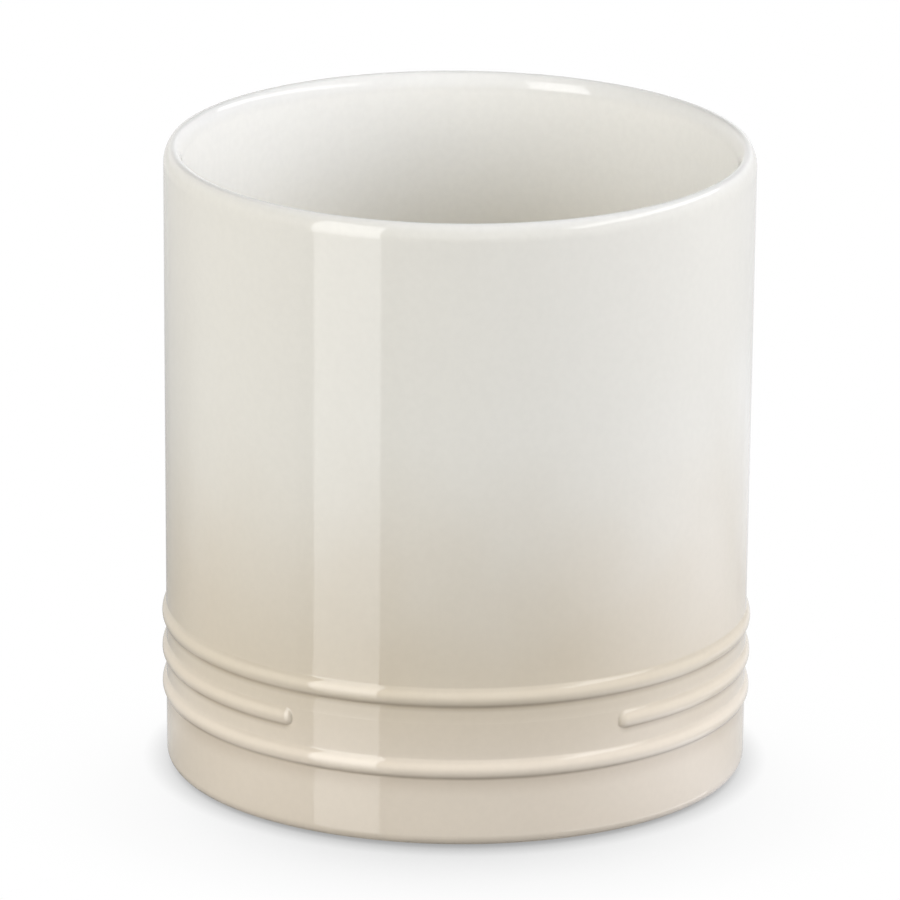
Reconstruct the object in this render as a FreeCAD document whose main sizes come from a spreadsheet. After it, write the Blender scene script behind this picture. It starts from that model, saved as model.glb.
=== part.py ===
import FreeCAD, Part
import math
import os
import Sketcher

# Utensil crock in glazed stoneware: one cast clay pot and the glaze coats that are fired onto it.
# Millimetres, +Z up. The origin is on the table, under the middle of the pot.
# The gap in the middle ring faces -Y, which is the front.

SIZES = {
    # The finished pot, measured over its glaze. The wall leans out a little towards the rim.
    "height": 165.0,
    "rim_diameter": 152.7,
    "base_diameter": 150.3,
    "wall_thickness": 4.7,
    # The lip: a narrow rounded crest over the middle of the wall, with long soft shoulders on both sides.
    "lip_crest_radius": 1.4,
    "lip_shoulder_height": 4.5,
    "floor_thickness": 6.0,
    "floor_cove_radius": 9.0,
    "base_edge_radius": 3.5,
    # The foot: a flat unglazed ring round a shallow glazed recess.
    "foot_width": 6.0,
    "foot_recess": 2.0,
    # The glaze, and the height above the table at which it is wiped off the foot.
    "glaze_thickness": 0.3,
    "glaze_line": 0.8,
    # Three raised rings low on the outside, steeper below their crest than above it.
    "lowest_ring_level": 20.7,
    "ring_pitch": 9.6,
    "ring_rise": 1.05,
    "ring_upper_width": 3.0,
    "ring_lower_width": 2.0,
    "ring_root": 0.8,
    "ring_blend_radius": 1.2,
    # The middle ring stops short at the front, with rounded ends.
    "ring_gap_length": 88.0,
    "ring_end_radius": 0.9,
}

TURN = 360


class Length:
    """A length with its value and the expression that works it out from the sheet."""

    def __init__(self, text, value):
        self.text = text
        self.value = value

    def joined(self, sign, other, value):
        text = other.text if isinstance(other, Length) else str(other)
        return Length(f"({self.text} {sign} {text})", value)

    def __add__(self, other):
        return self.joined("+", other, self.value + plain(other))

    def __sub__(self, other):
        return self.joined("-", other, self.value - plain(other))

    def __mul__(self, other):
        return self.joined("*", other, self.value * plain(other))

    def __truediv__(self, other):
        return self.joined("/", other, self.value / plain(other))


def plain(length):
    """The value of a length, or a bare ratio as it is."""
    return length.value if isinstance(length, Length) else length


def other_leg(hypotenuse, leg):
    """The third side of a right-angled triangle."""
    square = hypotenuse * hypotenuse - leg * leg
    return Length(f"sqrt({square.text})", math.sqrt(square.value))


NO_SKIN = Length("0", 0)

doc = FreeCAD.newDocument("utensil_crock")
sheet = doc.addObject("Spreadsheet::Sheet", "Sizes")
for row, (alias, number) in enumerate(SIZES.items(), start=1):
    sheet.set(f"A{row}", alias)
    sheet.set(f"B{row}", str(number))
    sheet.setAlias(f"B{row}", alias)
doc.recompute()


def size(alias):
    """A driving dimension, read from its cell."""
    return Length(f"Sizes.{alias}", float(sheet.get(alias)))


height = size("height")
rim_radius = size("rim_diameter") / 2
base_radius = size("base_diameter") / 2
wall_thickness = size("wall_thickness")
half_wall = wall_thickness / 2
lip_crest = size("lip_crest_radius")
lip_shoulder = size("lip_shoulder_height")
lip_level = height - lip_shoulder
base_edge = size("base_edge_radius")
glaze = size("glaze_thickness")
glaze_line = size("glaze_line")
recess = size("foot_recess")
cove = size("floor_cove_radius")
floor_level = recess + size("floor_thickness")
cove_level = floor_level + cove


def outside_radius(level):
    """Radius of the finished outside wall at a height."""
    return base_radius + (rim_radius - base_radius) * level / height


def inside_radius(level):
    """Radius of the finished inside wall at a height."""
    return outside_radius(level) - wall_thickness


foot_outer_radius = outside_radius(base_edge) - base_edge
foot_inner_radius = foot_outer_radius - size("foot_width")
recess_edge_radius = foot_inner_radius - recess - glaze
crest_radius = outside_radius(lip_level) - half_wall
cove_centre = (inside_radius(cove_level) - cove, cove_level)
base_edge_centre = (foot_outer_radius, base_edge)
recess_centre = (recess_edge_radius, 0)


def new_body(label):
    return doc.addObject("PartDesign::Body", label)


def hold(sketch, kind, curve, end, length):
    """Hold one point of a sketch at a distance along an axis, or on the other axis if that is zero."""
    origin = (-1, 1)
    zero_axis = {"DistanceX": -2, "DistanceY": -1}[kind]
    if isinstance(length, Length):
        index = sketch.addConstraint(Sketcher.Constraint(kind, *origin, curve, end, length.value))
        sketch.setExpression(f"Constraints[{index}]", length.text)
    else:
        sketch.addConstraint(Sketcher.Constraint("PointOnObject", curve, end, zero_axis))


def half_section(body, name, outline):
    """Draw a closed half section on the body's YZ plane, turned about the sketch's upright axis later.

    Each point of the outline is (radius, level), or (radius, level, centre) where an arc about that centre
    runs to it from the point before.
    """
    sketch = body.newObject("Sketcher::SketchObject", name)
    plane = next(item for item in body.Origin.OriginFeatures if item.Role == "YZ_Plane")
    sketch.AttachmentSupport = [(plane, "")]
    sketch.MapMode = "FlatFace"
    start, end, middle = 1, 2, 3
    ends = []
    for before, point in zip(outline[-1:] + outline[:-1], outline):
        near = FreeCAD.Vector(plain(before[0]), plain(before[1]), 0)
        far = FreeCAD.Vector(plain(point[0]), plain(point[1]), 0)
        if len(point) == 2:
            curve = sketch.addGeometry(Part.LineSegment(near, far), False)
            ends.append((curve, start, end))
            continue
        centre = FreeCAD.Vector(plain(point[2][0]), plain(point[2][1]), 0)
        forward = (near - centre).cross(far - centre).z > 0
        first, last = (near, far) if forward else (far, near)
        circle = Part.Circle(centre, FreeCAD.Vector(0, 0, 1), (near - centre).Length)
        arc = Part.ArcOfCircle(circle, circle.parameter(first), circle.parameter(last))
        curve = sketch.addGeometry(arc, False)
        ends.append((curve, start, end) if forward else (curve, end, start))
    for (curve, _, curve_end), (follower, follower_start, _) in zip(ends, ends[1:] + ends[:1]):
        sketch.addConstraint(Sketcher.Constraint("Coincident", curve, curve_end, follower, follower_start))
    for (curve, _, curve_end), point in zip(ends, outline):
        hold(sketch, "DistanceX", curve, curve_end, point[0])
        hold(sketch, "DistanceY", curve, curve_end, point[1])
        if len(point) == 3:
            hold(sketch, "DistanceY", curve, middle, point[2][1])
    return sketch


def turn(body, name, outline, sweep=None):
    """Turn a half section about the pot's axis, all the way or evenly to both sides of the back."""
    feature = body.newObject("PartDesign::Revolution", name)
    feature.Profile = half_section(body, name + "_section", outline)
    feature.ReferenceAxis = (feature.Profile[0], ["V_Axis"])
    feature.Angle = TURN
    if sweep:
        feature.Midplane = True
        feature.setExpression("Angle", sweep.text)
    doc.recompute()
    return feature


def ring_outline(level, skin):
    """Half section of one ring: two arcs that meet at the crest, on a root inside the wall."""
    wall = outside_radius(level)
    rise = size("ring_rise")
    root = wall - size("ring_root")
    crest = wall + rise - skin
    corners = []
    centres = []
    for width in (size("ring_lower_width"), size("ring_upper_width")):
        round_radius = (rise * rise + width * width) / (rise * 2)
        centre = wall + rise - round_radius
        corners.append(other_leg(round_radius - skin, root - centre))
        centres.append((centre, level))
    below, above = corners
    lower_centre, upper_centre = centres
    return [(root, level - below), (crest, level, lower_centre), (root, level + above, upper_centre)]


def soften(body, name, edges, radius):
    """Round the named edges of the body as it stands."""
    last = body.Tip
    feature = body.newObject("PartDesign::Fillet", name)
    feature.Base = (last, edges)
    feature.setExpression("Radius", radius.text)
    doc.recompute()


def edges_where(shape, wanted):
    """Names of the edges that pass a test on the edge and the faces it joins."""
    joined = ((edge, shape.ancestorsOfType(edge, Part.Face)) for edge in shape.Edges)
    return [f"Edge{index}" for index, (edge, faces) in enumerate(joined, start=1) if wanted(edge, faces)]


def is_ring_end(edge, faces):
    """True along the crest of an upright flat face, where a ring stops."""
    flat = [face.Surface for face in faces if isinstance(face.Surface, Part.Plane)]
    upright = [surface for surface in flat if round(surface.Axis.z) == 0]
    curved = [face for face in faces if isinstance(face.Surface, Part.Toroid)]
    return upright and curved


def is_ring_root(edge, faces):
    """True where a ring stands on the outside wall."""
    lowest = size("lowest_ring_level")
    pitch = size("ring_pitch")
    low = lowest - pitch / 2
    high = lowest + pitch * 5 / 2
    corner = edge.Vertexes[0].Point
    inside_zone = low.value < corner.z < high.value
    outside_wall = math.hypot(corner.x, corner.y) > outside_radius(lowest).value - wall_thickness.value / 2
    walls = [face for face in faces if isinstance(face.Surface, (Part.Cone, Part.Cylinder))]
    return inside_zone and outside_wall and len(faces) == 2 and len(walls) == 1


def add_rings(body, skin):
    """Raise the three rings on a turned wall whose surface lies one skin inside the finished one."""
    lowest = size("lowest_ring_level")
    pitch = size("ring_pitch")
    turn(body, body.Name + "_lower_ring", ring_outline(lowest, skin))
    turn(body, body.Name + "_upper_ring", ring_outline(lowest + pitch * 2, skin))
    middle = lowest + pitch
    gap = (size("ring_gap_length") + skin * 2) / outside_radius(middle)
    sweep = Length(f"{TURN} - {gap.text} * 180 / pi", TURN - math.degrees(gap.value))
    turn(body, body.Name + "_middle_ring", ring_outline(middle, skin), sweep)
    ends = edges_where(body.Shape, is_ring_end)
    soften(body, body.Name + "_ring_ends", ends, size("ring_end_radius") - skin)
    roots = edges_where(body.Shape, is_ring_root)
    soften(body, body.Name + "_ring_roots", roots, size("ring_blend_radius") + skin)


def lip_outline(skin, side):
    """Half section of the lip, one skin inside the finished one, from its outside (1) or its inside (-1).

    The crest and the two shoulders are arcs that run smoothly into each other and into the wall.
    """
    square_sum = half_wall * half_wall + lip_shoulder * lip_shoulder
    bend = (square_sum - lip_shoulder * lip_crest * 2) / ((half_wall - lip_crest) * 2)
    near_centre = (crest_radius + (half_wall - bend) * side, lip_level)
    far_centre = (crest_radius - (half_wall - bend) * side, lip_level)
    crest_centre = (crest_radius, height - lip_crest)
    share = (lip_crest - skin) / (bend - lip_crest)
    joint_reach = (bend - half_wall) * share
    joint_level = height - lip_crest + (lip_shoulder - lip_crest) * share
    return [
        (crest_radius + (half_wall - skin) * side, lip_level),
        (crest_radius + joint_reach * side, joint_level, near_centre),
        (crest_radius - joint_reach * side, joint_level, crest_centre),
        (crest_radius - (half_wall - skin) * side, lip_level, far_centre),
    ]


def clay_outline():
    """Half section of the bare clay: every glazed face lies one glaze thickness inside the finished one."""
    recess_top = recess + glaze
    foot_rim = foot_outer_radius + other_leg(base_edge - glaze, base_edge - glaze_line)
    return [
        (0, recess_top),
        (recess_edge_radius, recess_top),
        (recess_edge_radius + other_leg(recess_top, glaze_line), glaze_line, recess_centre),
        (foot_inner_radius, 0),
        (foot_outer_radius, 0),
        (foot_rim, glaze_line),
        (outside_radius(base_edge) - glaze, base_edge, base_edge_centre),
        *lip_outline(glaze, 1),
        (inside_radius(cove_level) + glaze, cove_level),
        (cove_centre[0], floor_level - glaze, cove_centre),
        (0, floor_level - glaze),
    ]


def make_stoneware_body():
    """The clay pot with its floor, foot and rings, cast in one piece."""
    body = new_body("stoneware_body")
    turn(body, "clay_pot", clay_outline())
    add_rings(body, glaze)
    return body


def make_outer_glaze(clay):
    """The coloured coat on the outside, from the wiped foot up to the lip and over the rings."""
    coated = new_body("coated_outside")
    glaze_edge = foot_outer_radius + other_leg(base_edge, base_edge - glaze_line)
    turn(coated, "coated_wall", [
        (foot_outer_radius, glaze_line),
        (glaze_edge, glaze_line),
        (outside_radius(base_edge), base_edge, base_edge_centre),
        (outside_radius(lip_level), lip_level),
        (outside_radius(lip_level) - half_wall, lip_level),
        (outside_radius(base_edge) - half_wall, base_edge),
    ])
    add_rings(coated, NO_SKIN)
    coat = doc.addObject("Part::Cut", "outer_glaze")
    coat.Base = coated
    coat.Tool = clay
    return coat


def make_inner_glaze():
    """The white liner coat: the floor, the inside wall and over the lip to its outer edge."""
    body = new_body("inner_glaze")
    turn(body, "liner_coat", [
        (0, floor_level - glaze),
        (cove_centre[0], floor_level - glaze),
        (inside_radius(cove_level) + glaze, cove_level, cove_centre),
        *lip_outline(glaze, -1),
        *lip_outline(NO_SKIN, 1),
        (inside_radius(cove_level), cove_level),
        (cove_centre[0], floor_level, cove_centre),
        (0, floor_level),
    ])
    return body


def make_base_glaze():
    """The coat in the recess under the foot, wiped off at the same height as the outside."""
    body = new_body("base_glaze")
    turn(body, "recess_coat", [
        (0, recess),
        (recess_edge_radius, recess),
        (recess_edge_radius + other_leg(recess, glaze_line), glaze_line, recess_centre),
        (recess_edge_radius + other_leg(recess + glaze, glaze_line), glaze_line),
        (recess_edge_radius, recess + glaze, recess_centre),
        (0, recess + glaze),
    ])
    return body


stoneware_body = make_stoneware_body()
outer_glaze = make_outer_glaze(stoneware_body)
inner_glaze = make_inner_glaze()
base_glaze = make_base_glaze()
doc.recompute()

for item in doc.Objects:
    if "Invalid" in item.State or "Error" in item.State:
        raise RuntimeError(f"{item.Label} failed: {item.State}")

sub_parts = (stoneware_body, outer_glaze, inner_glaze, base_glaze)
for sub_part in sub_parts:
    if sub_part.Shape.isNull() or not sub_part.Shape.isValid():
        raise RuntimeError(f"{sub_part.Label} has no valid shape")

os.makedirs("parts", exist_ok=True)
for sub_part in sub_parts:
    sub_part.Shape.exportStep(f"parts/{sub_part.Label}.step")
    print(sub_part.Label, len(sub_part.Shape.Solids), "solid", round(sub_part.Shape.Volume), "mm3")
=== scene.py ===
import math

import bpy
from mathutils import Matrix, Vector


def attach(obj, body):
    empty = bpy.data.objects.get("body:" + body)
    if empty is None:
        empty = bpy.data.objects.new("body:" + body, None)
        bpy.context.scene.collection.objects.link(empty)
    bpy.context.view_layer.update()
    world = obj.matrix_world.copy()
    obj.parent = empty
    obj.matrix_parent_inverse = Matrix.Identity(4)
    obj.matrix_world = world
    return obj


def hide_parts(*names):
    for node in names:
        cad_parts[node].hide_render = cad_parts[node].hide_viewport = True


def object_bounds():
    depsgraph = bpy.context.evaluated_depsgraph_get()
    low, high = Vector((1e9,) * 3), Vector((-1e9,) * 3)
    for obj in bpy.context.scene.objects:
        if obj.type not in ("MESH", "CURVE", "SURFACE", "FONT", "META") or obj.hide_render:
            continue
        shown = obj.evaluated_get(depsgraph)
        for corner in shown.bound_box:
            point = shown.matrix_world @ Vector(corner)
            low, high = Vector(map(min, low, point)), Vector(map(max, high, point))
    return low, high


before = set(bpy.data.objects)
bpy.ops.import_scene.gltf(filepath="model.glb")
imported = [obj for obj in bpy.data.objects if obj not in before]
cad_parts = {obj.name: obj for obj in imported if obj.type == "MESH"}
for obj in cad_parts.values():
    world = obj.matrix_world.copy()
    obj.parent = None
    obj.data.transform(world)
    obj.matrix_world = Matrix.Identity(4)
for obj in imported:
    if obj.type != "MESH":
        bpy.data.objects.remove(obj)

cad_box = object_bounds()

# The clay pot: buff stoneware, cast in one piece with its floor, its foot and the rings round its wall.
# Fired glaze hides all of it but the foot ring, which is left bare so that it doesn't stick in the kiln.
MM = 0.001
height = cad_box[1].z
rim_radius = 76.35 * MM
base_radius = 75.15 * MM
wall_thickness = 4.7 * MM
lip_crest = 1.4 * MM
lip_shoulder = 4.5 * MM
lip_level = height - lip_shoulder
glaze = 0.3 * MM
glaze_line = 0.8 * MM
base_edge = 3.5 * MM
foot_width = 6.0 * MM
recess = 2.0 * MM
floor_level = recess + 6.0 * MM
cove = 9.0 * MM
cove_level = floor_level + cove


def wall_radius(level):
    """Radius of the finished outside wall, which leans out a little towards the rim."""
    return base_radius + (rim_radius - base_radius) * level / height


foot_outer = wall_radius(base_edge) - base_edge
foot_inner = foot_outer - foot_width
recess_edge = foot_inner - recess - glaze
crest_radius = wall_radius(lip_level) - wall_thickness / 2
lip_inside = crest_radius - wall_thickness / 2
lip_outside = crest_radius + wall_thickness / 2
cove_radius = wall_radius(cove_level) - wall_thickness - cove


def arc(radius, level, bend, start, stop, steps):
    """Points of a half section round a centre, from one angle to another in degrees above level."""
    points = []
    for step in range(steps + 1):
        angle = math.radians(start + (stop - start) * step / steps)
        points.append((radius + bend * math.cos(angle), level + bend * math.sin(angle)))
    return points


def run(start, stop, steps):
    """Points of a half section along a straight line, without its first point."""
    shares = [step / steps for step in range(1, steps + 1)]
    return [tuple(a + (b - a) * share for a, b in zip(start, stop)) for share in shares]


def lip(skin, inwards):
    """Half section of the lip, from its outside shoulder over the crest to its inside one or back."""
    half = wall_thickness / 2
    bend = (half ** 2 + lip_shoulder ** 2 - 2 * lip_shoulder * lip_crest) / (2 * (half - lip_crest))
    lean = math.degrees(math.atan2(lip_shoulder - lip_crest, bend - half))
    outer = arc(lip_outside - bend, lip_level, bend - skin, 0, lean, 7)
    crest = arc(crest_radius, height - lip_crest, lip_crest - skin, lean, 180 - lean, 11)
    inner = arc(lip_inside + bend, lip_level, bend - skin, 180 - lean, 180, 7)
    points = outer + crest[1:] + inner[1:]
    return points if inwards else points[::-1]


ring_rise = 1.02 * MM
ring_pitch = 9.6 * MM
lowest_ring = 20.7 * MM
ring_levels = [lowest_ring + ring_pitch * number for number in range(3)]
ring_upper_width = 3.0 * MM
ring_lower_width = 2.0 * MM
ring_blend = 1.2 * MM


def ring(level, skin):
    """Half section of one ring, from its lower blend into the wall over its crest to the upper one."""
    wall = wall_radius(level) - skin
    below, above = [
        (ring_rise ** 2 + width ** 2) / (2 * ring_rise) for width in (ring_lower_width, ring_upper_width)
    ]
    points = []
    for bead, side in ((below, -1), (above, 1)):
        reach = bead + ring_blend
        foot = math.sqrt(2 * ring_rise * reach - ring_rise ** 2)
        lean = math.degrees(math.acos((reach - ring_rise) / reach))
        blend = arc(wall + ring_blend + skin, level + side * foot, ring_blend + skin,
                    180, 180 + side * lean, 4)
        flank = arc(wall + ring_rise - bead + skin, level, bead - skin, side * lean, 0, 7)
        points += blend + flank[1:] if side < 0 else flank[-2:0:-1] + blend[::-1]
    return points


def outside(skin):
    """Half section of the outside, from the end of the base edge over the rings to the lip."""
    points = [(wall_radius(base_edge) - skin, base_edge)]
    for level in ring_levels:
        bead = ring(level, skin)
        points += run(points[-1], bead[0], 3) + bead[1:]
    return points[1:] + run(points[-1], (wall_radius(lip_level) - skin, lip_level), 14)


def turned(name, outline, sectors):
    """Draw a half section point by point at the front of the pot and spin it about the pot's axis."""
    bpy.ops.object.select_all(action="DESELECT")
    first = outline[0]
    bpy.ops.mesh.primitive_plane_add(size=glaze, location=(0, -first[0], first[1]))
    piece = bpy.context.object
    piece.name = name
    piece.data.name = name
    bpy.ops.object.transform_apply(location=True)
    bpy.ops.object.mode_set(mode="EDIT")
    bpy.ops.mesh.select_all(action="SELECT")
    bpy.ops.mesh.merge(type="CENTER")
    for before, point in zip(outline, outline[1:]):
        move = (0, before[0] - point[0], point[1] - before[1])
        bpy.ops.mesh.extrude_region_move(TRANSFORM_OT_translate={"value": move})
    bpy.ops.mesh.select_all(action="SELECT")
    for degrees, steps in sectors:
        bpy.ops.mesh.spin(steps=steps, angle=math.radians(degrees), center=(0, 0, 0), axis=(0, 0, 1))
    bpy.ops.mesh.select_all(action="SELECT")
    bpy.ops.mesh.remove_doubles(threshold=glaze / 100)
    bpy.ops.mesh.normals_make_consistent(inside=False)
    bpy.ops.object.mode_set(mode="OBJECT")
    return piece


ring_gap = 88.0 * MM
ring_end = 2.4 * MM
gap_angle = math.degrees(ring_gap / wall_radius(ring_levels[1]))
end_angle = 4.0
ring_sectors = [
    (gap_angle / 2 - end_angle / 4, 24),
    (end_angle, 20),
    (360 - gap_angle - end_angle * 3 / 2, 180),
    (end_angle, 20),
    (gap_angle / 2 - end_angle / 4, 24),
]
whole_turn = [(360, 240)]


def past_gap(place):
    """How far along the middle ring a place is from the end of the ring's gap."""
    return abs(math.atan2(place.x, -place.y)) * wall_radius(ring_levels[1]) - ring_gap / 2


def open_gap(piece, skin):
    """Take the middle ring back to the wall at the front, and round the ends that it leaves."""
    level = ring_levels[1]
    for vertex in piece.data.vertices:
        place = vertex.co
        radius = math.hypot(place.x, place.y)
        wall = wall_radius(place.z) - skin
        rise = radius - wall
        if rise <= 0 or abs(place.z - level) >= ring_pitch / 2:
            continue
        across = (place.z - level) / (ring_upper_width if place.z > level else ring_lower_width)
        corner = ring_end * (1 - math.sqrt(max(0, 1 - across ** 2)))
        along = min(1, max(0, (past_gap(place) - corner - skin) / ring_end))
        rounded = wall + rise * math.sqrt(1 - (1 - along) ** 2)
        place.x *= rounded / radius
        place.y *= rounded / radius


def finish_mesh(piece):
    """Smooth a turned piece everywhere but at its hard edges."""
    bpy.ops.object.select_all(action="DESELECT")
    piece.select_set(True)
    bpy.context.view_layer.objects.active = piece
    bpy.ops.object.shade_smooth_by_angle(angle=math.radians(40))


foot_rim_lean = math.degrees(math.asin((glaze_line - base_edge) / (base_edge - glaze)))
recess_lean = math.degrees(math.asin(glaze_line / (recess + glaze)))
clay_pot = turned(
    "clay_pot",
    [(0, recess + glaze)]
    + run((0, recess + glaze), (recess_edge, recess + glaze), 6)
    + arc(recess_edge, 0, recess + glaze, 90, recess_lean, 6)[1:]
    + [(foot_inner, 0), (foot_outer, 0)]
    + arc(foot_outer, base_edge, base_edge - glaze, foot_rim_lean, 0, 8)
    + outside(glaze)
    + lip(glaze, True)[1:]
    + run((lip_inside + glaze, lip_level), (cove_radius + cove + glaze, cove_level), 8)
    + arc(cove_radius, cove_level, cove + glaze, 0, -90, 8)[1:]
    + run((cove_radius, floor_level - glaze), (0, floor_level - glaze), 6),
    ring_sectors,
)
open_gap(clay_pot, glaze)
finish_mesh(clay_pot)


def new_material(name):
    """A material with its shader, its node adder and its linker."""
    material = bpy.data.materials.new(name)
    material.use_nodes = True
    tree = material.node_tree
    shader = tree.nodes["Principled BSDF"]
    return material, shader, tree.nodes.new, tree.links.new


def cloud(add_node, link, place, scale, detail):
    """Soft random spots, so many to the metre, as a value from 0 to 1."""
    spots = add_node("ShaderNodeTexNoise")
    spots.inputs["Scale"].default_value = scale
    spots.inputs["Detail"].default_value = detail
    link(place, spots.inputs["Vector"])
    return spots.outputs["Fac"]


def graded(add_node, link, value, low, high, to_low, to_high):
    """A value taken smoothly from one range to another."""
    grade = add_node("ShaderNodeMapRange")
    grade.interpolation_type = "SMOOTHSTEP"
    grade.inputs["From Min"].default_value = low
    grade.inputs["From Max"].default_value = high
    grade.inputs["To Min"].default_value = to_low
    grade.inputs["To Max"].default_value = to_high
    link(value, grade.inputs["Value"])
    return grade.outputs["Result"]


def blended(add_node, link, share, first, second):
    """One colour going over into another by a share."""
    blend = add_node("ShaderNodeMix")
    blend.data_type = "RGBA"
    link(share, blend.inputs["Factor"])
    for socket, colour in (("A", first), ("B", second)):
        if isinstance(colour, tuple):
            blend.inputs[socket].default_value = (*colour, 1)
        else:
            link(colour, blend.inputs[socket])
    return blend.outputs["Result"]


def raised(add_node, link, value, depth, under=None):
    """The surface normal of small hills of some depth, on top of other hills if there are any."""
    hills = add_node("ShaderNodeBump")
    hills.inputs["Strength"].default_value = 1
    hills.inputs["Distance"].default_value = depth
    link(value, hills.inputs["Height"])
    if under:
        link(under, hills.inputs["Normal"])
    return hills.outputs["Normal"]


dark_buff = (0.46, 0.375, 0.28)
light_buff = (0.60, 0.51, 0.40)
iron_brown = (0.26, 0.19, 0.13)
grains_per_metre = 900
grog_per_metre = 2600
grain_depth = 0.15 * MM
grog_depth = 0.08 * MM
clay_finish, shader, add_node, link = new_material("bare_stoneware")
place = add_node("ShaderNodeTexCoord").outputs["Object"]
grain = cloud(add_node, link, place, grains_per_metre, 6)
grog = cloud(add_node, link, place, grog_per_metre, 1)
buff = blended(add_node, link, graded(add_node, link, grain, 0.3, 0.7, 0, 1), dark_buff, light_buff)
speckled = blended(add_node, link, graded(add_node, link, grog, 0.66, 0.76, 0, 0.6), buff, iron_brown)
link(speckled, shader.inputs["Base Color"])
link(graded(add_node, link, grain, 0.3, 0.7, 0.82, 0.95), shader.inputs["Roughness"])
grainy = raised(add_node, link, grain, grain_depth)
link(raised(add_node, link, grog, grog_depth, grainy), shader.inputs["Normal"])
clay_pot.data.materials.append(clay_finish)
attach(clay_pot, "root")
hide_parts("stoneware_body")

# The outer coat: a glossy glaze sprayed over the outside and the rings, cream above and warm beige below,
# lighter towards the foot as painted light from the table. It runs from the lip down round the base edge
# and is wiped off just above the table. Painted shade darkens the creases under the rings, and a painted
# highlight lightens their upper slopes.
glaze_line_lean = math.degrees(math.asin((glaze_line - base_edge) / base_edge))
outer_coat = turned(
    "outer_coat",
    arc(foot_outer, base_edge, base_edge, glaze_line_lean, 0, 8) + outside(0),
    ring_sectors,
)
open_gap(outer_coat, 0)
crease_drop = 2.05 * MM
crease_spread = 0.75 * MM
slope_lift = 1.3 * MM
slope_spread = 1.1 * MM
# Each ring's painted shade in the crease below it and painted highlight on its upper slope, stored on the
# mesh.
ring_shade_and_highlight = outer_coat.data.attributes.new("ring_shade_and_highlight", "FLOAT", "POINT")
for vertex in outer_coat.data.vertices:
    for level in ring_levels:
        crease_shade = math.exp(-((vertex.co.z - level + crease_drop) / crease_spread) ** 2)
        slope_highlight = math.exp(-((vertex.co.z - level - slope_lift) / slope_spread) ** 2)
        share = min(1, max(0, past_gap(vertex.co) / ring_end)) if level == ring_levels[1] else 1
        ring_shade_and_highlight.data[vertex.index].value += share * (crease_shade - slope_highlight)
coat_depth = outer_coat.modifiers.new("coat_depth", "SOLIDIFY")
coat_depth.thickness = glaze
coat_depth.offset = -1
coat_depth.use_even_offset = True
bpy.ops.object.modifier_apply(modifier=coat_depth.name)
finish_mesh(outer_coat)

drifts_per_metre = 28
ripples_per_metre = 60
peel_per_metre = 420
specks_per_metre = 520
ripple_depth = 0.012 * MM
peel_depth = 0.0015 * MM
glaze_surface = bpy.data.node_groups.new("glaze_surface", "ShaderNodeTree")
glaze_surface.interface.new_socket("Place", in_out="INPUT", socket_type="NodeSocketVector")
for output in ("Mottle", "Drift", "Roughness"):
    glaze_surface.interface.new_socket(output, in_out="OUTPUT", socket_type="NodeSocketFloat")
glaze_surface.interface.new_socket("Normal", in_out="OUTPUT", socket_type="NodeSocketVector")
add_node, link = glaze_surface.nodes.new, glaze_surface.links.new
place = add_node("NodeGroupInput").outputs["Place"]
given = add_node("NodeGroupOutput")
drift = cloud(add_node, link, place, drifts_per_metre, 2)
specks = cloud(add_node, link, place, specks_per_metre, 4)
ripple = cloud(add_node, link, place, ripples_per_metre, 1)
peel = cloud(add_node, link, place, peel_per_metre, 1)
rippled = raised(add_node, link, ripple, ripple_depth)
link(graded(add_node, link, specks, 0.25, 0.75, 0, 1), given.inputs["Mottle"])
link(drift, given.inputs["Drift"])
link(graded(add_node, link, drift, 0.3, 0.7, 0.03, 0.055), given.inputs["Roughness"])
link(raised(add_node, link, peel, peel_depth, rippled), given.inputs["Normal"])


def glaze_material(name):
    """A material with the glaze's surface on it, and a place on the pot with its level."""
    material, shader, add_node, link = new_material(name)
    place = add_node("ShaderNodeTexCoord").outputs["Object"]
    surface = add_node("ShaderNodeGroup")
    surface.node_tree = glaze_surface
    link(place, surface.inputs["Place"])
    link(surface.outputs["Roughness"], shader.inputs["Roughness"])
    link(surface.outputs["Normal"], shader.inputs["Normal"])
    split = add_node("ShaderNodeSeparateXYZ")
    link(place, split.inputs["Vector"])
    return material, shader, add_node, link, surface, place, split.outputs["Z"]


def joined(add_node, link, operation, first, second):
    """One value made of two: their sum, their product or the larger one."""
    both = add_node("ShaderNodeMath")
    both.operation = operation
    link(first, both.inputs[0])
    link(second, both.inputs[1])
    return both.outputs["Value"]


def scaled(add_node, link, colour, strength):
    """A colour made stronger or weaker."""
    scale = add_node("ShaderNodeVectorMath")
    scale.operation = "SCALE"
    link(colour, scale.inputs["Vector"])
    link(strength, scale.inputs["Scale"])
    return scale.outputs["Vector"]


cream = (0.638, 0.615, 0.553)
beige = (0.526, 0.455, 0.347)
# The lighter beige towards the foot is painted light from the table.
painted_bounce_beige = (0.615, 0.542, 0.442)
# The creases under the rings are darkened with this tint as painted shade.
crease_shade_tint = (0.8, 0.775, 0.75)
fade_start, fade_end = 28 * MM, 115 * MM
fade_drift = 5 * MM
bounce_end, beige_start = 17 * MM, 46 * MM
# The rings' upper slopes are lightened by this much as a painted highlight.
slope_highlight_strength = 1.12
outer_finish, shader, add_node, link, surface, place, level = glaze_material("outer_glaze")
drift = graded(add_node, link, surface.outputs["Drift"], 0.2, 0.8, -fade_drift, fade_drift)
sprayed_level = joined(add_node, link, "ADD", level, drift)
fade = graded(add_node, link, sprayed_level, fade_start, fade_end, 0, 1)
# The beige grows lighter towards the foot as painted light from the table.
painted_bounce_share = graded(add_node, link, level, bounce_end, beige_start, 1, 0)
tone = blended(add_node, link, fade, blended(add_node, link, painted_bounce_share, beige, painted_bounce_beige), cream)
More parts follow.
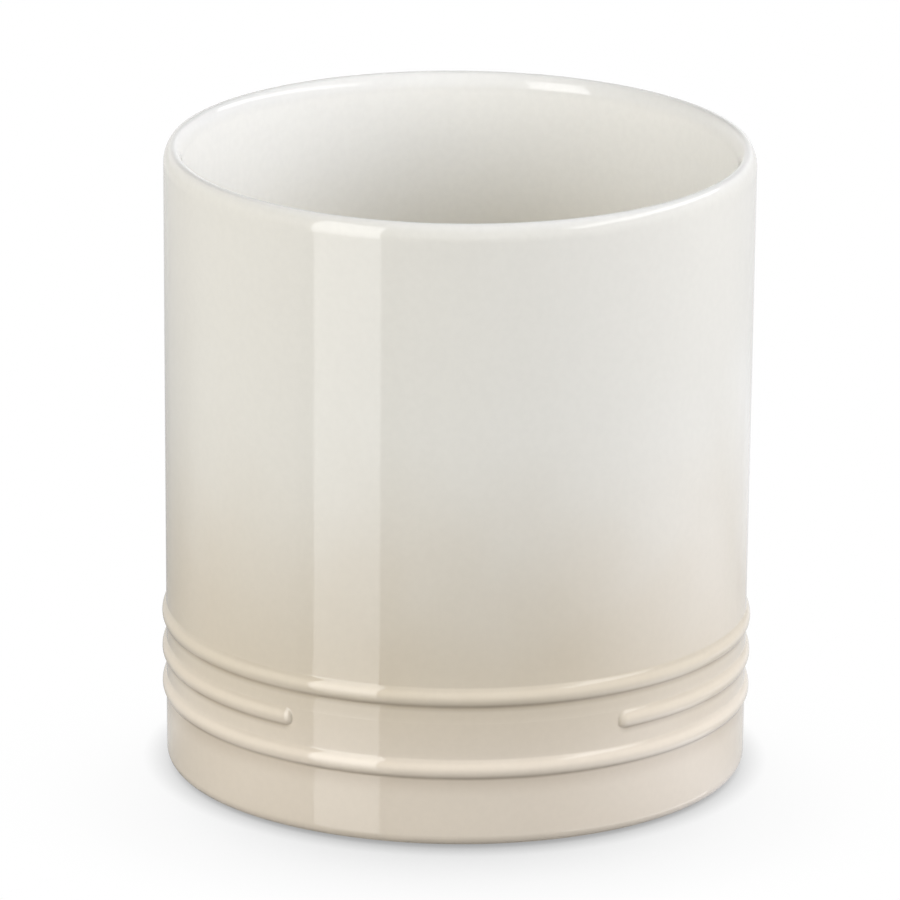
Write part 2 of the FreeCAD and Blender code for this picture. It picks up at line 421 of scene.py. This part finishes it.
# Painted shade in the creases under the rings and a painted highlight on their upper slopes.
depth = add_node("ShaderNodeAttribute")
depth.attribute_name = "ring_shade_and_highlight"
shaded_tone = add_node("ShaderNodeVectorMath")
shaded_tone.operation = "MULTIPLY"
link(tone, shaded_tone.inputs[0])
shaded_tone.inputs[1].default_value = crease_shade_tint
shade_share = graded(add_node, link, depth.outputs["Fac"], 0, 1, 0, 1)
crease_shaded = blended(add_node, link, shade_share, tone, shaded_tone.outputs["Vector"])
slope_lit = graded(add_node, link, depth.outputs["Fac"], -1, 0, slope_highlight_strength, 1)
fleck = graded(add_node, link, surface.outputs["Mottle"], 0, 1, 0.992, 1.008)
strength = joined(add_node, link, "MULTIPLY", slope_lit, fleck)
link(scaled(add_node, link, crease_shaded, strength), shader.inputs["Base Color"])
outer_coat.data.materials.append(outer_finish)
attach(outer_coat, "root")
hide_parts("outer_glaze")

# The liner coat: a white glaze poured inside, over the floor, the wall and the lip, which painted shade
# darkens.
# It meets the outer coat edge to edge just under the outside of the lip and goes over into its cream there.
liner_outline = (
    [(0, floor_level)]
    + run((0, floor_level), (cove_radius, floor_level), 8)
    + arc(cove_radius, cove_level, cove, -90, 0, 12)[1:]
    + run((cove_radius + cove, cove_level), (lip_inside, lip_level), 14)
    + lip(0, False)[1:]
    + lip(glaze, True)
    + run((lip_inside + glaze, lip_level), (cove_radius + cove + glaze, cove_level), 14)
    + arc(cove_radius, cove_level, cove + glaze, 0, -90, 12)[1:]
    + run((cove_radius, floor_level - glaze), (0, floor_level - glaze), 8)
)
liner_coat = turned("liner_coat", liner_outline, whole_turn)
finish_mesh(liner_coat)
white = (0.806, 0.791, 0.745)
warm_white = (0.785, 0.738, 0.625)
# The lip's white is darker than the wall's as painted shade.
lip_shaded_white = (0.738, 0.724, 0.685)
warm_end, white_start = 90 * MM, 150 * MM
liner_finish, shader, add_node, link, surface, place, level = glaze_material("liner_glaze")
flat = add_node("ShaderNodeVectorMath")
flat.operation = "MULTIPLY"
link(place, flat.inputs[0])
flat.inputs[1].default_value = (1, 1, 0)
reach = add_node("ShaderNodeVectorMath")
reach.operation = "LENGTH"
link(flat.outputs["Vector"], reach.inputs[0])
up_the_wall = graded(add_node, link, level, warm_end, white_start, 0, 1)
up_the_lip = graded(add_node, link, level, lip_level - 1 * MM, lip_level + 2 * MM, 0, 1)
over_the_lip = graded(add_node, link, reach.outputs["Value"], crest_radius, lip_outside, 0, 1)
inside = blended(add_node, link, up_the_wall, warm_white, white)
# Painted shade darkens the white over the lip.
shaded_on_lip = blended(add_node, link, up_the_lip, inside, lip_shaded_white)
tone = blended(add_node, link, over_the_lip, shaded_on_lip, cream)
fleck = graded(add_node, link, surface.outputs["Mottle"], 0, 1, 0.99, 1.01)
link(scaled(add_node, link, tone, fleck), shader.inputs["Base Color"])
liner_coat.data.materials.append(liner_finish)
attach(liner_coat, "root")
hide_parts("inner_glaze")

# The base coat: the same glaze as outside, brushed into the shallow recess under the foot.
# It stops short of the table inside the bare foot ring.
coat_lean = math.degrees(math.asin(glaze_line / recess))
base_coat = turned(
    "base_coat",
    [(0, recess)]
    + run((0, recess), (recess_edge, recess), 8)
    + arc(recess_edge, 0, recess, 90, coat_lean, 6)[1:]
    + arc(recess_edge, 0, recess + glaze, recess_lean, 90, 6)
    + run((recess_edge, recess + glaze), (0, recess + glaze), 8),
    whole_turn,
)
finish_mesh(base_coat)
base_coat.data.materials.append(outer_finish)
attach(base_coat, "root")
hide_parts("base_glaze")

# The table: a sheet of white acrylic on which the pot stands, glowing plain white to the eye.
# The pot's shadow is painted into its glow. In the glaze it shows as a white sheet with a sheen, with
# painted shade at the left and in front of the pot and painted light at its right.
sheet_size = 12
lit_grey = (0.4, 0.4, 0.4, 1)
shadow_samples = 24
near_reach = 7 * MM
near_grey = 0.58
wide_reach = 62 * MM
greys_by_openness = ((0.3, 0.64), (0.43, 0.83), (0.62, 0.945), (0.86, 0.992))
back_lean = math.radians(65)
bpy.ops.object.select_all(action="DESELECT")
bpy.ops.mesh.primitive_plane_add(size=sheet_size, location=(0, 0, 0))
table = bpy.context.object
table.name = "table"
table_finish, shader, add_node, link = new_material("white_table")
shader.inputs["Base Color"].default_value = lit_grey
shader.inputs["Roughness"].default_value = 1
shader.inputs["Specular IOR Level"].default_value = 0


def open_within(reach):
    """A node that says how open the sheet is to its surroundings within a reach."""
    openness = add_node("ShaderNodeAmbientOcclusion")
    openness.samples = shadow_samples
    openness.inputs["Distance"].default_value = reach
    return openness


# The pot's shadow is painted into the sheet's white from how open the sheet is near the pot.
near_shadow = add_node("ShaderNodeMapRange")
near_shadow.inputs["To Min"].default_value = near_grey
link(open_within(near_reach).outputs["AO"], near_shadow.inputs["Value"])
behind = add_node("ShaderNodeCombineXYZ")
behind.inputs["Y"].default_value = math.sin(back_lean)
behind.inputs["Z"].default_value = math.cos(back_lean)
open_behind = open_within(wide_reach)
link(behind.outputs["Vector"], open_behind.inputs["Normal"])
wide_shadow = add_node("ShaderNodeValToRGB")
ramp = wide_shadow.color_ramp.elements
ramp.remove(ramp[0])
for openness, grey in greys_by_openness:
    ramp.new(openness).color = (grey, grey, grey, 1)
link(open_behind.outputs["AO"], wide_shadow.inputs["Fac"])
shadow = joined(add_node, link, "MULTIPLY", near_shadow.outputs["Result"], wide_shadow.outputs["Color"])

place = add_node("ShaderNodeTexCoord").outputs["Object"]
split = add_node("ShaderNodeSeparateXYZ")
link(place, split.inputs["Vector"])
seen = add_node("ShaderNodeLightPath")


def away_from(middle):
    """How far a place on the sheet is from another one."""
    offset = add_node("ShaderNodeVectorMath")
    offset.operation = "DISTANCE"
    link(place, offset.inputs[0])
    offset.inputs[1].default_value = middle
    return offset.outputs["Value"]


def spot(middle, inner, outer, strength=1):
    """A spot on the sheet, of some strength within one distance of its middle, fading to 0 at another."""
    return graded(add_node, link, away_from(middle), inner, outer, strength, 0)


def reflected(*shares):
    """The largest of some shares for rays that come from a reflection, and 0 for all others."""
    strongest = shares[0]
    for other in shares[1:]:
        strongest = joined(add_node, link, "MAXIMUM", strongest, other)
    return joined(add_node, link, "MULTIPLY", seen.outputs["Is Glossy Ray"], strongest)


# Painted shade and painted light on the sheet, seen only in reflections in the glaze.
white_light = (1, 1, 1)
right_light = (2.8, 2.9, 3.25)
shade_grey = (0.07, 0.07, 0.07)
slant_share = 0.55
slant = add_node("ShaderNodeMath")
slant.operation = "MULTIPLY_ADD"
link(split.outputs["X"], slant.inputs[0])
slant.inputs[1].default_value = slant_share
link(split.outputs["Y"], slant.inputs[2])
at_back = graded(add_node, link, slant.outputs["Value"], -70 * MM, 30 * MM, 0, 1)
at_left = graded(add_node, link, split.outputs["X"], -100 * MM, 0, 0.65, 0)
back_left = joined(add_node, link, "MULTIPLY", at_back, at_left)
left_shade = joined(add_node, link, "MULTIPLY", back_left, spot((0, 0, 0), 300 * MM, 800 * MM))
front_shade = spot((50 * MM, -215 * MM, 0), 60 * MM, 190 * MM)
foot_shade = spot((-95 * MM, -18 * MM, 0), 10 * MM, 45 * MM, 0.7)
clear_of_pot = graded(add_node, link, away_from((0, 0, 0)), 125 * MM, 190 * MM, 0, 1)
wide_glow = spot((240 * MM, -30 * MM, 0), 30 * MM, 230 * MM)
right_glow = joined(add_node, link, "MULTIPLY", wide_glow, clear_of_pot)
back_glow = spot((225 * MM, 215 * MM, 0), 60 * MM, 170 * MM, 0.22)
foot_glow = spot((92 * MM, -58 * MM, 0), 15 * MM, 62 * MM, 0.75)
# Painted light in the reflections: brighter at the right, at the back right and by the right foot.
glow = reflected(right_glow, back_glow, foot_glow)
# Painted shade in the reflections: darker at the back left, in front of the pot and by its left foot.
shade = reflected(left_shade, front_shade, foot_shade)
lit_paper = scaled(add_node, link, blended(add_node, link, glow, white_light, right_light), shadow)
paper = add_node("ShaderNodeEmission")
link(blended(add_node, link, shade, lit_paper, shade_grey), paper.inputs["Color"])
sheen = add_node("ShaderNodeBsdfGlossy")
sheen.inputs["Roughness"].default_value = 0.03
aslant = add_node("ShaderNodeLayerWeight").outputs["Facing"]
sheen_share = graded(add_node, link, aslant, 0.6, 1, 0.447, 1)
sheet = add_node("ShaderNodeMixShader")
link(reflected(sheen_share), sheet.inputs["Fac"])
link(paper.outputs["Emission"], sheet.inputs[1])
link(sheen.outputs["BSDF"], sheet.inputs[2])


def looked_at(add_node, link):
    """1 for a ray from the camera, a reflection or glass, and 0 for one that only brings light."""
    path = add_node("ShaderNodeLightPath").outputs
    turned_aside = joined(add_node, link, "MAXIMUM", path["Is Glossy Ray"], path["Is Transmission Ray"])
    return joined(add_node, link, "MAXIMUM", path["Is Camera Ray"], turned_aside)


top = add_node("ShaderNodeMixShader")
link(looked_at(add_node, link), top.inputs["Fac"])
link(shader.outputs["BSDF"], top.inputs[1])
link(sheet.outputs["Shader"], top.inputs[2])
link(top.outputs["Shader"], table_finish.node_tree.nodes["Material Output"].inputs["Surface"])
table.data.materials.append(table_finish)

# The studio: a white room that is only looked at, with a ceiling that is dim but for its right side.
# Soft boxes at the left, the right, in front and behind light the pot, and two bright strips show in the
# glaze and light nothing else.
dim, half_lit = 0.15, 0.5
room = bpy.data.worlds.new("studio_room")
bpy.context.scene.world = room
room.use_nodes = True
add_node, link = room.node_tree.nodes.new, room.node_tree.links.new
walls = room.node_tree.nodes["Background"]
walls.inputs["Color"].default_value = (1, 1, 1, 1)
split = add_node("ShaderNodeSeparateXYZ")
link(add_node("ShaderNodeTexCoord").outputs["Generated"], split.inputs["Vector"])
below_ceiling = graded(add_node, link, split.outputs["Z"], 0.2, 0.5, 1, 0)
ceiling = graded(add_node, link, split.outputs["X"], 0.1, 0.5, dim, half_lit)
from_camera = add_node("ShaderNodeLightPath").outputs["Is Camera Ray"]
room_light = joined(add_node, link, "MAXIMUM", below_ceiling, ceiling)
brightness = joined(add_node, link, "MAXIMUM", from_camera, room_light)
shown = joined(add_node, link, "MULTIPLY", looked_at(add_node, link), brightness)
link(shown, walls.inputs["Strength"])


def soft_box(name, azimuth, lift, away, width, tall, watts, tilt=0):
    """A flat lamp that faces the pot, at an azimuth from the front, positive to the right."""
    turn, rise = math.radians(azimuth), math.radians(lift)
    level = height / 2 + away * math.sin(rise)
    reach = away * math.cos(rise)
    place = (reach * math.sin(turn), -reach * math.cos(turn), level)
    bpy.ops.object.light_add(type="AREA", location=place)
    lamp = bpy.context.object
    lamp.name = name
    lamp.data.shape = "RECTANGLE"
    lamp.data.size = width
    lamp.data.size_y = tall
    lamp.data.energy = watts
    upright = Matrix.Rotation(turn, 3, "Z") @ Matrix.Rotation(math.radians(90) - rise, 3, "X")
    lamp.rotation_euler = (upright @ Matrix.Rotation(math.radians(tilt), 3, "Z")).to_euler()
    return lamp


box_away, box_size = 1.5, 1.2
for name, azimuth, lift, watts, colour in (
    ("front_box", 0, 30, 2.4, (1, 1, 1)),
    ("left_box", -60, 19, 24.1, (1, 1, 1)),
    ("right_front_box", 45, 30, 8.5, (0.95, 1, 1.06)),
    ("right_box", 75, 24, 21.7, (0.98, 0.99, 1.06)),
    ("back_box", 180, 18, 24, (1, 1, 1)),
):
    box = soft_box(name, azimuth, lift, box_away, box_size, box_size, watts)
    box.data.color = colour
    box.visible_glossy = name == "front_box"
for name, azimuth, lift, away, width, tall, watts, tilt in (
    ("left_strip", -42.8, 0, 1.2, 0.579, 1.8, 13.6, 0),
    ("right_strip", 84, 30, 1.5, 2.2, 0.3, 7, -3),
):
    box = soft_box(name, azimuth, lift, away, width, tall, watts, tilt)
    box.visible_diffuse = False

# The camera: a long lens nearly three metres away, looking down a little on the front of the pot.
# It is turned slightly about its own axis, and its shift puts the pot where it is in the picture.
picture_width = 900
focal_pixels = 10969
shift_pixels = (-7.67, 0.43)
distance = 2841 * MM
aim = Vector((0, 0, 83.09 * MM))
look_down = math.radians(16.98)
roll = math.radians(0.508)
bpy.ops.object.camera_add()
camera = bpy.context.object
camera.location = aim + distance * Vector((0, -math.cos(look_down), math.sin(look_down)))
level_view = (camera.location - aim).to_track_quat("Z", "Y").to_matrix()
camera.rotation_euler = (level_view @ Matrix.Rotation(roll, 3, "Z")).to_euler()
camera.data.sensor_width = 36
camera.data.lens = camera.data.sensor_width * focal_pixels / picture_width
camera.data.shift_x, camera.data.shift_y = [shift / picture_width for shift in shift_pixels]
bpy.context.scene.camera = camera
bpy.context.scene.view_settings.view_transform = "Standard"
